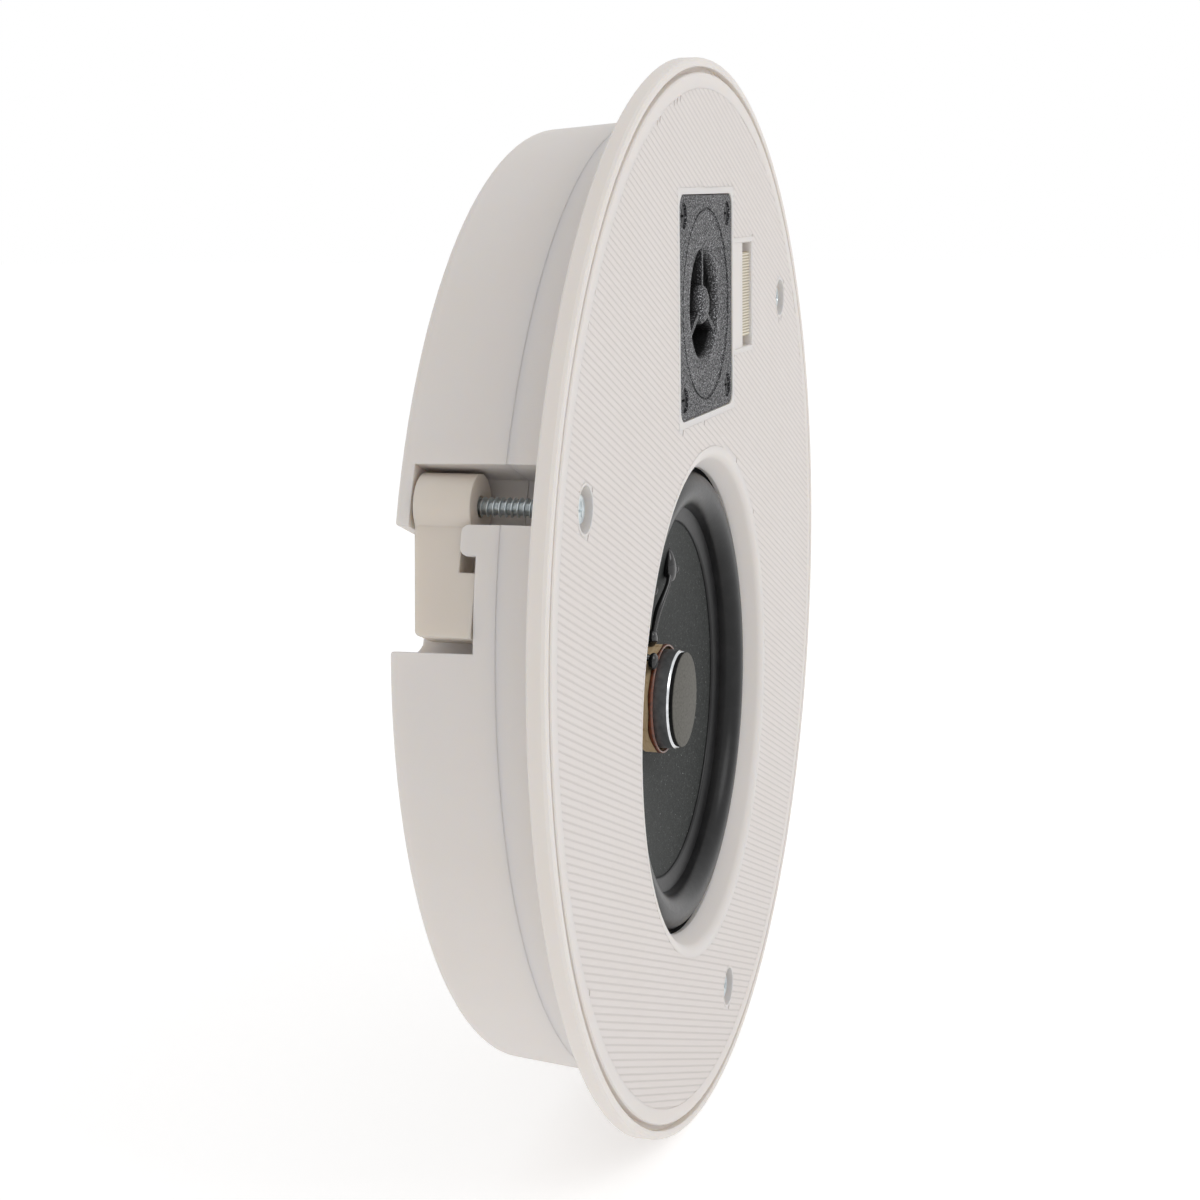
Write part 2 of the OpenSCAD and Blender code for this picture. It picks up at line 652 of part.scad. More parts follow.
module terminal_block() color(black_plastic) upright() translate([terminal_at[0], terminal_at[1], 0])
    difference() {
        union() {
            box([-15, -11, -29.5], [15, 11, -21]);
            box([-11, -3.4, -21.5], [11, 3.4, -16]);
        }
        for (s = [-1, 1]) {
            box([s * 7.5 - 5.2, -9.5, -30], [s * 7.5 + 5.2, 5.5, -22.6]);
            translate([s * 7.5, 8, 0]) rod(1.6, -30, -24);
        }
    }

// A spring lever that opens the wire hole above it, turning about its lower edge
module terminal_lever(s) upright() translate([terminal_at[0] + s * 7.5, terminal_at[1], 0]) union() {
    box([-4.9, -9.0, -28.4], [4.9, 4.8, -26.4]);
    box([-4.9, 2.2, -31.6], [4.9, 4.8, -28.3]);
    translate([-4.9, -7.6, -27.3]) rotate([0, 90, 0]) cylinder(r = 1.5, h = 9.8, $fn = 48);
}
module terminal_lever_red() color([0.70, 0.08, 0.07]) terminal_lever(1);
module terminal_lever_black() color([0.06, 0.06, 0.06]) terminal_lever(-1);

module terminal_cable() color([0.12, 0.12, 0.12]) upright()
    wire([[-42, 40, -15.95], [-42, 40, -14.3], [-40, 41, -12.8], [-35, 43, -12.5], [-28, 46, -16],
        [-22, 47, -21], [-14, 47, -25.5], [0, 47, -27], [14, 46, -27], [24, 40, -26.5],
        [30, 31, -24.5], [33.5, 24.5, -23], [36.4, 21.8, -24.2], [36.4, 21.8, cable_end]], 2.6);

module damping_pad() color([0.85, 0.85, 0.83]) upright()
    box([-30, 50, floor_z], [30, 88, floor_z + 8]);

front_baffle();
rear_housing();
housing_seal();
housing_screws();
clamp_arm(0);  // clamp_arm_1
clamp_arm(1);  // clamp_arm_2
clamp_arm(2);  // clamp_arm_3
clamp_screw(0);  // clamp_screw_1
clamp_screw(1);  // clamp_screw_2
clamp_screw(2);  // clamp_screw_3
woofer_basket();
woofer_gasket();
woofer_surround();
woofer_cone();
coil_former();
voice_coil();
woofer_spider();
coil_leads();
tinsel_leads();
woofer_terminals();
top_plate();
ferrite_magnet();
yoke();
phase_plug();
plug_pad();
woofer_screws();
tweeter_faceplate();
tweeter_screws();
tweeter_dome();
tweeter_coil();
tweeter_suspension();
tweeter_spacer();
tweeter_plate();
tweeter_magnet();
tweeter_yoke();
level_slider();
level_switch();
crossover_board();
crossover_inductor();
crossover_capacitor();
crossover_resistor();
tweeter_cable();
switch_cable();
woofer_cable();
terminal_block();
terminal_lever_red();
terminal_lever_black();
terminal_cable();
damping_pad();
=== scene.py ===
"""Looks of a round built-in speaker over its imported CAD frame. Metres, front towards -Y."""
import math
import random

import bmesh
import bpy
from mathutils import Matrix, Vector

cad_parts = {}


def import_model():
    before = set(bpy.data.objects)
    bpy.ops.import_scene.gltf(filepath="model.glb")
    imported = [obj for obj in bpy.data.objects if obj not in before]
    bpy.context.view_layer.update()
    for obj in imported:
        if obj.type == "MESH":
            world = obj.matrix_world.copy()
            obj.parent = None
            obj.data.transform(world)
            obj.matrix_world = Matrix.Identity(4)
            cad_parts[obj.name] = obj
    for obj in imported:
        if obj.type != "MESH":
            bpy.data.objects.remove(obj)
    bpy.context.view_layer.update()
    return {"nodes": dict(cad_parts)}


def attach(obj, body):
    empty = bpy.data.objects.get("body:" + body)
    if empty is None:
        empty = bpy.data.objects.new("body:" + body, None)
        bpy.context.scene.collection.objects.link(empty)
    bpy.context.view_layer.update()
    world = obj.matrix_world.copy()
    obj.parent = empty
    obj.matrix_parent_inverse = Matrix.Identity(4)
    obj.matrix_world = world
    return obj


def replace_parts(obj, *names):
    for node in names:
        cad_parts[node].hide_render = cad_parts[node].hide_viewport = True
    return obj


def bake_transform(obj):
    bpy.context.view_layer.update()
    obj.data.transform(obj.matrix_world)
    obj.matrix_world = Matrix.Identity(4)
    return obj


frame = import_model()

MM = 0.001
NODES = frame["nodes"]

# Places in the CAD frame that several pieces share, in millimetres and degrees
WOOFER_Z = -24.5
TWEETER_Z = 69.6
CLAMP_ANGLES = {1: 160, 2: 40, 3: -80}
HINGE_R = 104.5

# Depths of the front's grooves, which the painted shade in their material follows too
RIDGE_TOP = -3.985
GROOVE_FLOOR = -3.87

# Distance within which doubled points of a mesh are joined, in metres
JOIN_WITHIN = 1e-7


def at_woofer(radius, angle, y):
    """A point round the woofer's axis, in metres, with the angle from +X towards +Z."""
    a = math.radians(angle)
    return Vector((radius * math.cos(a), y, WOOFER_Z + radius * math.sin(a))) * MM


# Meshes


def new_piece(name, bm, material, smooth=True, sharp=35):
    """An object from a bmesh, with smooth shading up to an edge angle."""
    bmesh.ops.recalc_face_normals(bm, faces=bm.faces)
    mesh = bpy.data.meshes.new(name)
    bm.to_mesh(mesh)
    bm.free()
    for p in mesh.polygons:
        p.use_smooth = smooth
    if smooth:
        mesh.set_sharp_from_angle(angle=math.radians(sharp))
    mesh.materials.append(material)
    obj = bpy.data.objects.new(name, mesh)
    bpy.context.scene.collection.objects.link(obj)
    return obj


def lathe(bm, outline, centre, steps=180, closed=True, material_index=0):
    """Turns an outline of (radius, y) in millimetres round an axis along Y through (x, z)."""
    rings = []
    for r, y in outline:
        if r < 1e-6:
            rings.append([bm.verts.new(Vector((centre[0], y, centre[1])) * MM)])
            continue
        rings.append([
            bm.verts.new(Vector((
                centre[0] + r * math.cos(math.tau * k / steps), y,
                centre[1] + r * math.sin(math.tau * k / steps))) * MM)
            for k in range(steps)])
    pairs = list(zip(rings, rings[1:]))
    if closed:
        pairs.append((rings[-1], rings[0]))
    for low, high in pairs:
        for k in range(steps):
            j = (k + 1) % steps
            corners = [low[k % len(low)], low[j % len(low)],
                       high[j % len(high)], high[k % len(high)]]
            corners = [v for i, v in enumerate(corners) if v not in corners[:i]]
            if len(corners) > 2:
                face = bm.faces.new(corners)
                face.material_index = material_index


def arc(cx, cy, r, a0, a1, n=8):
    """Points on an arc for an outline, from angle a0 to a1 in degrees."""
    return [
        (cx + r * math.cos(math.radians(a0 + (a1 - a0) * i / n)),
         cy + r * math.sin(math.radians(a0 + (a1 - a0) * i / n)))
        for i in range(n + 1)]


def rounded(points, radius, n=3, closed=True):
    """An outline with each corner turned into a short curve of about that radius."""
    made = []
    count = len(points)
    for i, p in enumerate(points):
        if not closed and i in (0, count - 1):
            made.append(p)
            continue
        p = Vector(p)
        a = Vector(points[i - 1]) - p
        b = Vector(points[(i + 1) % count]) - p
        cut = min(radius, a.length * 0.45, b.length * 0.45)
        start = p + a.normalized() * cut
        end = p + b.normalized() * cut
        for k in range(n + 1):
            t = k / n
            made.append(tuple(start * (1 - t) ** 2 + p * 2 * t * (1 - t) + end * t * t))
    return made


def smooth_path(points, per_span=8):
    """Points of a Catmull-Rom curve through the given points."""
    ends = [points[0] * 2 - points[1], *points, points[-1] * 2 - points[-2]]
    made = []
    for a, b, c, d in zip(ends, ends[1:], ends[2:], ends[3:]):
        for k in range(per_span):
            t = k / per_span
            made.append(0.5 * (
                b * 2 + (c - a) * t + (a * 2 - b * 5 + c * 4 - d) * t ** 2
                + (b * 3 - a - c * 3 + d) * t ** 3))
    made.append(points[-1])
    return made


def tube(bm, path, radii, sides=12):
    """A closed round tube along a path, with a radius for each point."""
    side = Vector((0.31, 0.17, 0.94))  # any direction that the path doesn't start along
    rings = []
    for i, p in enumerate(path):
        heading = (path[min(i + 1, len(path) - 1)] - path[max(i - 1, 0)]).normalized()
        side = (side - heading * side.dot(heading)).normalized()
        other = heading.cross(side)
        rings.append([
            bm.verts.new(p + (side * math.cos(math.tau * k / sides)
                              + other * math.sin(math.tau * k / sides)) * radii[i])
            for k in range(sides)])
    for low, high in zip(rings, rings[1:]):
        for k in range(sides):
            j = (k + 1) % sides
            bm.faces.new((low[k], low[j], high[j], high[k]))
    bm.faces.new(rings[0])
    bm.faces.new(rings[-1])


def blob(name, centre, size_mm, seed, rough, material, lump_count=7):
    """A set drop of glue: a sphere pulled to a size, with a few soft lumps."""
    rand = random.Random(seed)
    lumps = [
        (Vector([rand.uniform(-1, 1) for _ in range(3)]).normalized(),
         rand.uniform(-rough, rough))
        for _ in range(lump_count)]
    reach = [s * MM for s in size_mm]
    bm = bmesh.new()
    bmesh.ops.create_icosphere(bm, subdivisions=4, radius=1)
    for v in bm.verts:
        d = v.co.normalized()
        swell = sum(h * max(0.0, d.dot(n)) ** 3 for n, h in lumps)
        v.co = centre + Vector(d[i] * reach[i] for i in range(3)) * (1 + swell)
    return new_piece(name, bm, material, sharp=180)


# Materials


class Finish:
    """A node material on a Principled shader, built up one effect at a time."""

    def __init__(self, name, color, roughness, metallic=0.0):
        self.material = bpy.data.materials.new(name)
        self.material.use_nodes = True
        self.tree = self.material.node_tree
        self.shader = self.tree.nodes["Principled BSDF"]
        self.shader.inputs["Roughness"].default_value = roughness
        self.shader.inputs["Metallic"].default_value = metallic
        self.where = self.tree.nodes.new("ShaderNodeTexCoord").outputs["Object"]
        self.color = color
        self.height = None

    def add(self, kind, **settings):
        """A node with its settings; a name that starts with in_ sets an input socket."""
        node = self.tree.nodes.new(kind)
        for key, value in settings.items():
            if key.startswith("in_"):
                node.inputs[key[3:].replace("_", " ")].default_value = value
            else:
                setattr(node, key, value)
        return node

    def link(self, output, socket):
        """Joins one node's output to another's input."""
        self.tree.links.new(output, socket)

    def noise(self, size_mm, detail=2.0, roughness=0.5, stretch=None, distortion=0.0):
        """Noise from 0 to 1 with lumps of about a size."""
        node = self.add("ShaderNodeTexNoise", in_Scale=1 / (size_mm * MM), in_Detail=detail,
                        in_Roughness=roughness, in_Distortion=distortion)
        self.link(self.placed(stretch), node.inputs["Vector"])
        return node.outputs["Fac"]

    def placed(self, stretch):
        """The object's own coordinates, stretched along the axes where asked."""
        if stretch is None:
            return self.where
        node = self.add("ShaderNodeMapping", in_Scale=stretch)
        self.link(self.where, node.inputs["Vector"])
        return node.outputs["Vector"]

    def cells(self, size_mm, smooth, warp):
        """Distance in a pattern of soft cells of about a size, pushed about by a noise."""
        push = self.add("ShaderNodeTexNoise", in_Scale=0.7 / (size_mm * MM), in_Detail=2.0)
        self.link(self.where, push.inputs["Vector"])
        place = self.add("ShaderNodeVectorMath", operation="MULTIPLY_ADD")
        self.link(push.outputs["Color"], place.inputs[0])
        place.inputs[1].default_value = (warp * size_mm * MM,) * 3
        self.link(self.where, place.inputs[2])
        node = self.add("ShaderNodeTexVoronoi", feature="SMOOTH_F1", in_Scale=1 / (size_mm * MM),
                        in_Smoothness=smooth)
        self.link(place.outputs[0], node.inputs["Vector"])
        return node.outputs["Distance"]

    def ramp(self, value, low, high, to_low=0.0, to_high=1.0):
        """A value stretched from one range to another, and held inside it."""
        node = self.add("ShaderNodeMapRange")
        self.link(value, node.inputs["Value"])
        for key, number in (("From Min", low), ("From Max", high),
                            ("To Min", to_low), ("To Max", to_high)):
            node.inputs[key].default_value = number
        return node.outputs["Result"]

    def along(self, axis, low_mm, high_mm):
        """0 to 1 between two places along an axis of the frame."""
        node = self.add("ShaderNodeSeparateXYZ")
        self.link(self.where, node.inputs["Vector"])
        return self.ramp(node.outputs[axis], low_mm * MM, high_mm * MM)

    def tint(self, factor, color):
        """Mixes another colour in by a factor from 0 to 1."""
        node = self.add("ShaderNodeMix", data_type="RGBA")
        self.link(factor, node.inputs["Factor"])
        if isinstance(self.color, bpy.types.NodeSocket):
            self.link(self.color, node.inputs["A"])
        else:
            node.inputs["A"].default_value = (*self.color, 1)
        node.inputs["B"].default_value = (*color, 1)
        self.color = node.outputs["Result"]
        return self

    def gloss(self, factor, low, high):
        """Roughness that follows a factor."""
        self.link(self.ramp(factor, 0, 1, low, high), self.shader.inputs["Roughness"])
        return self

    def relief(self, height, depth_mm):
        """Bump of a real depth, added to what is there."""
        node = self.add("ShaderNodeBump", in_Strength=1.0, in_Distance=depth_mm * MM)
        self.link(height, node.inputs["Height"])
        if self.height is not None:
            self.link(self.height, node.inputs["Normal"])
        self.height = node.outputs["Normal"]
        return self

    def soft_edges(self, radius_mm):
        """Rounds the shading over sharp edges, under any bump added later."""
        node = self.add("ShaderNodeBevel", samples=4, in_Radius=radius_mm * MM)
        self.height = node.outputs["Normal"]
        return self

    def set(self, **values):
        """Constants on the shader's own sockets."""
        for key, value in values.items():
            self.shader.inputs[key.replace("_", " ")].default_value = value
        return self

    def done(self):
        """The material, with its colour and relief joined to the shader."""
        socket = self.shader.inputs["Base Color"]
        if isinstance(self.color, bpy.types.NodeSocket):
            self.link(self.color, socket)
        else:
            socket.default_value = (*self.color, 1)
        if self.height is not None:
            self.link(self.height, self.shader.inputs["Normal"])
        return self.material


def srgb(r, g, b):
    """A colour as seen, 0 to 255, in the shader's linear values."""
    return tuple(
        c / 12.92 if c <= 0.04045 else ((c + 0.055) / 1.055) ** 2.4
        for c in (r / 255, g / 255, b / 255))


def ivory_plastic(name, color, warm, grain=0.35, edge=0.35, valley_shade=None, scatter=0.3):
    """Moulded housing plastic: a fine spark-eroded grain with a slow drift of colour, and where
    asked painted shade that darkens towards the floors of grooves and ribs.
    """
    m = Finish(name, color, 0.5)
    if edge:
        m.soft_edges(edge)
    m.tint(m.ramp(m.noise(38, 2), 0.35, 0.7, 0, 0.35), warm)
    # Painted shade: darker from one depth to a deeper one, where groove and rib floors lie in
    # shade.
    if valley_shade:
        m.tint(m.along("Y", *valley_shade[:2]), valley_shade[2])
    fine = m.noise(grain, 3, 0.6)
    m.gloss(fine, 0.44, 0.58)
    m.relief(fine, 0.018).relief(m.noise(9, 2), 0.02)
    return m.set(Subsurface_Weight=scatter, Subsurface_Radius=(1.6, 1.2, 0.75),
                 Subsurface_Scale=0.004, Specular_IOR_Level=0.42).done()


def leather_plastic():
    """The tweeter's plate: black moulding with a pebbled leather grain, and painted shade that
    turns near black deeper in the horn.
    """
    m = Finish("tweeter_grain", srgb(70, 70, 73), 0.5).soft_edges(0.2)
    pebbles = m.cells(0.6, smooth=0.2, warp=0.6)
    crease = m.ramp(pebbles, 0.3, 0.55)
    m.tint(crease, srgb(28, 28, 30))
    m.tint(m.ramp(m.noise(0.34, 2), 0.56, 0.68, 0, 0.9), srgb(196, 196, 200))
    # Painted shade: near black from the plate's front back into the horn's throat.
    m.tint(m.along("Y", -3.1, -1.2), srgb(13, 13, 14))
    m.gloss(crease, 0.36, 0.66)
    m.relief(m.ramp(pebbles, 0.15, 0.6, 1, 0), 0.1).relief(m.noise(0.28, 2), 0.03)
    return m.set(Specular_IOR_Level=0.4).done()


def black_plastic():
    """Plain black moulding of the hidden pieces."""
    m = Finish("black_moulding", srgb(38, 38, 40), 0.5)
    fine = m.noise(0.4, 3)
    m.tint(m.ramp(fine, 0.5, 0.8, 0, 0.4), srgb(62, 62, 65))
    m.gloss(fine, 0.36, 0.6)
    return m.relief(fine, 0.02).done()


def rubber():
    """The surround: smooth moulded rubber with a faint bloom and fine streaks round it."""
    m = Finish("surround_rubber", srgb(26, 26, 27), 0.28)
    m.tint(m.ramp(m.noise(5, 4, 0.65), 0.45, 0.8, 0, 0.6), srgb(42, 42, 43))
    fine = m.noise(0.5, 3)
    m.gloss(fine, 0.24, 0.38)
    m.relief(fine, 0.012).relief(m.noise(3.2, 2), 0.03)
    return m.set(Specular_IOR_Level=0.27).done()


def cone_paper():
    """The cone: dark coated pulp with fibres and a few pale specks."""
    m = Finish("cone_pulp", srgb(38, 40, 39), 0.6)
    fibres = m.noise(0.8, 4, 0.7, distortion=1.2)
    m.tint(m.ramp(fibres, 0.4, 0.62, 0, 0.7), srgb(64, 66, 65))
    m.tint(m.ramp(m.noise(0.6, 2), 0.6, 0.7), srgb(76, 78, 77))
    m.tint(m.ramp(m.noise(0.45, 1), 0.74, 0.78), srgb(150, 152, 150))
    m.gloss(fibres, 0.5, 0.72)
    m.relief(fibres, 0.05).relief(m.noise(0.3, 2), 0.02)
    return m.set(Specular_IOR_Level=0.22).done()


def kraft():
    """Wound paper of the coil former."""
    m = Finish("kraft", srgb(206, 178, 138), 0.7)
    wraps = m.noise(0.5, 3, 0.6, stretch=(0.15, 1, 0.15))
    m.tint(m.ramp(wraps, 0.4, 0.65, 0, 0.7), srgb(224, 200, 162))
    m.tint(m.ramp(m.noise(1.6, 3), 0.55, 0.75, 0, 0.6), srgb(164, 126, 84))
    return m.relief(wraps, 0.04).done()


def varnish():
    """Brown lacquer that seals the former's rim."""
    m = Finish("rim_varnish", srgb(116, 58, 28), 0.3)
    m.tint(m.ramp(m.noise(1.1, 3), 0.45, 0.7, 0, 0.8), srgb(54, 28, 17))
    return m.relief(m.noise(0.5, 2), 0.05).set(Coat_Weight=0.4, Coat_Roughness=0.15).done()


def glue():
    """Black glue, set glossy."""
    m = Finish("black_glue", srgb(16, 16, 17), 0.1)
    soft = m.noise(1.2, 2)
    m.tint(m.ramp(soft, 0.5, 0.8, 0, 0.5), srgb(30, 30, 31))
    m.gloss(soft, 0.05, 0.16)
    return m.relief(soft, 0.05).set(Coat_Weight=0.25, Coat_Roughness=0.05).done()


def metal(name, color, stain, roughness, turned=None, metallic=1.0):
    """Bare or plated metal with fine marks, which run round a turned piece."""
    m = Finish(name, color, roughness, metallic=metallic)
    marks = m.noise(0.3, 3, 0.6, stretch=turned)
    m.tint(m.ramp(m.noise(1.5, 3), 0.4, 0.75, 0, 0.7), stain)
    m.gloss(marks, roughness * 0.75, roughness * 1.35)
    return m.relief(marks, 0.012).done()


def painted(name, color, other, roughness=0.45, grain=0.6, depth=0.03, level=0.5):
    """Paint, foam, board or sheath: two close colours over a fine grain."""
    m = Finish(name, color, roughness)
    fine = m.noise(grain, 3, 0.6)
    m.tint(m.ramp(fine, 0.4, 0.7, 0, 0.7), other)
    m.gloss(fine, roughness * 0.85, min(1.0, roughness * 1.2))
    return m.relief(fine, depth).set(Specular_IOR_Level=level).done()


# Stretch of the marks on a piece turned on a lathe, which run round its axis
TURNED = (0.1, 1, 0.1)

IVORY = ivory_plastic("ivory_moulding", srgb(221, 215, 211), srgb(218, 210, 202))
IVORY_FRONT = ivory_plastic("ivory_front", srgb(222, 216, 212), srgb(219, 212, 206), edge=0.15)
# The front's grooves get painted shade on their floors.
IVORY_GROOVED = ivory_plastic("ivory_grooved", srgb(220, 213, 209), srgb(217, 209, 203),
                              edge=0, scatter=0.04,
                              valley_shade=(RIDGE_TOP + 0.02, GROOVE_FLOOR - 0.03, srgb(207, 200, 196)))
ARM_IVORY = ivory_plastic("ivory_arm", srgb(215, 206, 196), srgb(209, 198, 184), edge=0.5)
# The slider gets painted shade in the hollows between its ribs.
SLIDER_IVORY = ivory_plastic("ivory_slider", srgb(230, 221, 203), srgb(222, 211, 188), 0.25, 0,
                             (-3.5, -3.32, srgb(186, 175, 153)))
GRAIN_AND_THROAT_SHADE = leather_plastic()
BLACK = black_plastic()
RUBBER = rubber()
PULP = cone_paper()
KRAFT = kraft()
VARNISH = varnish()
GLUE = glue()
ZINC = metal("zinc_plate", srgb(216, 223, 225), srgb(160, 171, 176), 0.32, metallic=0.85)
DARK_STEEL = metal("dark_turned_steel", srgb(176, 178, 180), srgb(140, 143, 146), 0.42, TURNED)
BRIGHT_STEEL = metal("bright_turned_edge", srgb(222, 224, 226), srgb(180, 184, 188), 0.2, TURNED)
PAD = painted("pressed_pad", srgb(100, 98, 92), srgb(70, 69, 65), 0.85, 0.7, 0.08)
BLACK_STEEL = painted("black_passivated", srgb(34, 34, 36), srgb(58, 58, 61), 0.38, 0.5, 0.02)
FERRITE = painted("ferrite", srgb(52, 52, 54), srgb(70, 70, 72), 0.6, 0.4, 0.03)
SPIDER = painted("impregnated_cloth", srgb(176, 140, 70), srgb(140, 104, 44), 0.7, 0.35, 0.08)
COPPER = metal("enamelled_copper", srgb(190, 112, 66), srgb(150, 80, 42), 0.3)
FOAM = painted("foam", srgb(30, 30, 30), srgb(46, 46, 46), 0.9, 0.8, 0.1, 0.2)
WADDING = painted("wadding", srgb(222, 222, 218), srgb(196, 196, 192), 0.95, 2.0, 0.5, 0.2)
BOARD = painted("solder_mask", srgb(28, 88, 48), srgb(20, 66, 36), 0.35, 2.5, 0.02)
LAMINATE = painted("paper_laminate", srgb(128, 84, 44), srgb(104, 64, 32), 0.6, 1.5, 0.03)
# Painted shade: the tweeter's dome and suspension are near black, for the shade deep in the
# horn's throat.
THROAT_SHADE_FILM = painted("dark_film_as_throat_shade", srgb(24, 24, 25), srgb(36, 36, 38), 0.4, 1.2, 0.02)
SLEEVE = painted("capacitor_sleeve", srgb(34, 38, 62), srgb(46, 50, 76), 0.35, 1.8, 0.01)
CEMENT = painted("cement", srgb(214, 212, 205), srgb(192, 189, 180), 0.9, 0.7, 0.08)
RED = painted("red_lever", srgb(160, 26, 22), srgb(138, 18, 16), 0.35, 0.9, 0.02)
BLACK_LEVER = painted("black_lever", srgb(28, 28, 29), srgb(42, 42, 44), 0.35, 0.9, 0.02)
SHEATH = painted("cable_sheath", srgb(32, 32, 33), srgb(46, 46, 48), 0.5, 1.2, 0.02)
SWITCH_BODY = painted("switch_body", srgb(84, 86, 90), srgb(66, 68, 72), 0.5, 0.8, 0.02)

NODE_FINISH = {
    "front_baffle": IVORY_FRONT, "rear_housing": IVORY, "level_slider": SLIDER_IVORY,
    "housing_seal": FOAM, "housing_screws": ZINC, "woofer_basket": BLACK_STEEL,
    "woofer_gasket": FOAM, "woofer_surround": RUBBER, "woofer_cone": PULP, "coil_former": KRAFT,
    "voice_coil": COPPER, "woofer_spider": SPIDER, "coil_leads": GLUE, "tinsel_leads": COPPER,
    "woofer_terminals": LAMINATE, "top_plate": ZINC, "ferrite_magnet": FERRITE, "yoke": ZINC,
    "phase_plug": DARK_STEEL, "plug_pad": PAD, "woofer_screws": BLACK_STEEL,
    "tweeter_faceplate": GRAIN_AND_THROAT_SHADE, "tweeter_screws": BLACK_STEEL, "tweeter_dome": THROAT_SHADE_FILM,
    "tweeter_coil": COPPER, "tweeter_suspension": THROAT_SHADE_FILM, "tweeter_spacer": BLACK,
    "tweeter_plate": ZINC, "tweeter_magnet": FERRITE, "tweeter_yoke": ZINC,
    "level_switch": SWITCH_BODY, "crossover_board": BOARD, "crossover_inductor": COPPER,
    "crossover_capacitor": SLEEVE, "crossover_resistor": CEMENT, "terminal_block": BLACK,
    "terminal_lever_red": RED, "terminal_lever_black": BLACK_LEVER, "damping_pad": WADDING,
    "tweeter_cable": SHEATH, "switch_cable": SHEATH, "woofer_cable": SHEATH,
    "terminal_cable": SHEATH,
}
for i in CLAMP_ANGLES:
    NODE_FINISH[f"clamp_arm_{i}"] = ARM_IVORY
    NODE_FINISH[f"clamp_screw_{i}"] = ZINC
for name, obj in NODES.items():
    obj.data.materials.clear()
    obj.data.materials.append(NODE_FINISH[name])


# Grooved field on the front


GROOVE_ANGLE = -21.7
GROOVE_PITCH = 1.54
FIELD_R = 118.15
FIELD_FLOOR = -3.62
WOOFER_HOLE_R = 60.95
TWEETER_HALF = 26.65
SWITCH_BOX = (23.9, 55.8, 47.2, 84.0)
SCREW_HOLE_R = 5.25
RIDGE_HALF = GROOVE_PITCH * 0.497
RIDGE_TOP_HALF = GROOVE_PITCH * 0.25
SHORTEST_SPAN = 0.3
SHORTEST_RIDGE = 1
NEAR_END = 3


def circle_gap(u0, v0, r, v):
    """The stretch of the line at height v that a circle covers, or None."""
    if abs(v - v0) >= r:
        return None
    half = math.sqrt(r * r - (v - v0) ** 2)
    return u0 - half, u0 + half


def box_gap(x0, z0, x1, z1, turn, v):
    """The stretch of the groove line at height v that a box covers, or None."""
    c, s = math.cos(turn), math.sin(turn)
    low, high = -1e9, 1e9
    for start, step, a, b in ((-v * s, c, x0, x1), (v * c, s, z0, z1)):
        t = sorted(((a - start) / step, (b - start) / step))
        low, high = max(low, t[0]), min(high, t[1])
    return (low, high) if low < high else None


def field_spans(v):
    """The stretches of the groove line at height v that lie in the field."""
    turn = math.radians(GROOVE_ANGLE)
    c, s = math.cos(turn), math.sin(turn)

    def turned(x, z):
        return x * c + z * s, -x * s + z * c

    outer = circle_gap(0, 0, FIELD_R, v)
    if outer is None:
        return []
    gaps = [
        circle_gap(*turned(0, WOOFER_Z), WOOFER_HOLE_R, v),
        box_gap(-TWEETER_HALF, TWEETER_Z - TWEETER_HALF, TWEETER_HALF, TWEETER_Z + TWEETER_HALF,
                turn, v),
        box_gap(*SWITCH_BOX, turn, v)]
    for a in CLAMP_ANGLES.values():
        hole = turned(HINGE_R * math.cos(math.radians(a)), HINGE_R * math.sin(math.radians(a)))
        gaps.append(circle_gap(*hole, SCREW_HOLE_R, v))
    spans = [outer]
    for gap in filter(None, gaps):
        left = []
        for low, high in spans:
            if gap[1] <= low or gap[0] >= high:
                left.append((low, high))
                continue
            if gap[0] > low:
                left.append((low, gap[0]))
            if gap[1] < high:
                left.append((gap[1], high))
        spans = left
    return [span for span in spans if span[1] - span[0] > SHORTEST_SPAN]


def ridge_lines(v):
    """Cross-section of one ridge: (height across the grooves, depth) of its long edges."""
    left = [(v - RIDGE_HALF, FIELD_FLOOR), (v - RIDGE_HALF, GROOVE_FLOOR),
            (v - RIDGE_TOP_HALF, RIDGE_TOP)]
    return left + [(2 * v - a, y) for a, y in reversed(left)]


def ridge_pieces(spans):
    """The pieces of a ridge, each with a stretch for every line of its cross-section."""
    if len({len(of_line) for of_line in spans}) == 1:
        return list(zip(*spans))
    pieces = []
    for low_end, high_end in max(spans, key=len):
        near = [[b for b in of_line if min(high_end, b[1]) - max(low_end, b[0]) > SHORTEST_RIDGE]
                for of_line in spans]
        if not all(near):
            continue
        low = max(max((b[0] for b in n if b[0] <= low_end + NEAR_END), default=low_end)
                  for n in near)
        high = min(min((b[1] for b in n if b[1] >= high_end - NEAR_END), default=high_end)
                   for n in near)
        if high - low > SHORTEST_RIDGE:
            pieces.append([(low, high)] * len(spans))
    return pieces


def grooves():
    """Long ridges that fill the field, cut off along its outline."""
    bm = bmesh.new()
    turn = math.radians(GROOVE_ANGLE)
    c, s = math.cos(turn), math.sin(turn)
    count = int(FIELD_R / GROOVE_PITCH)
    for k in range(-count, count + 1):
        lines = ridge_lines(k * GROOVE_PITCH)
        spans = [field_spans(v) for v, _ in lines]
        if not all(spans):
            continue
        for piece in ridge_pieces(spans):
            ends = []
            for end in (0, 1):
                ends.append([
                    bm.verts.new(Vector((u[end] * c - v * s, y, u[end] * s + v * c)) * MM)
                    for u, (v, y) in zip(piece, lines)])
            for i in range(len(lines)):
                j = (i + 1) % len(lines)
                bm.faces.new((ends[0][i], ends[0][j], ends[1][j], ends[1][i]))
            bm.faces.new(ends[0])
            bm.faces.new(ends[1])
    return new_piece("front_grooves", bm, IVORY_GROOVED, smooth=False)


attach(grooves(), "frame")


# Woofer


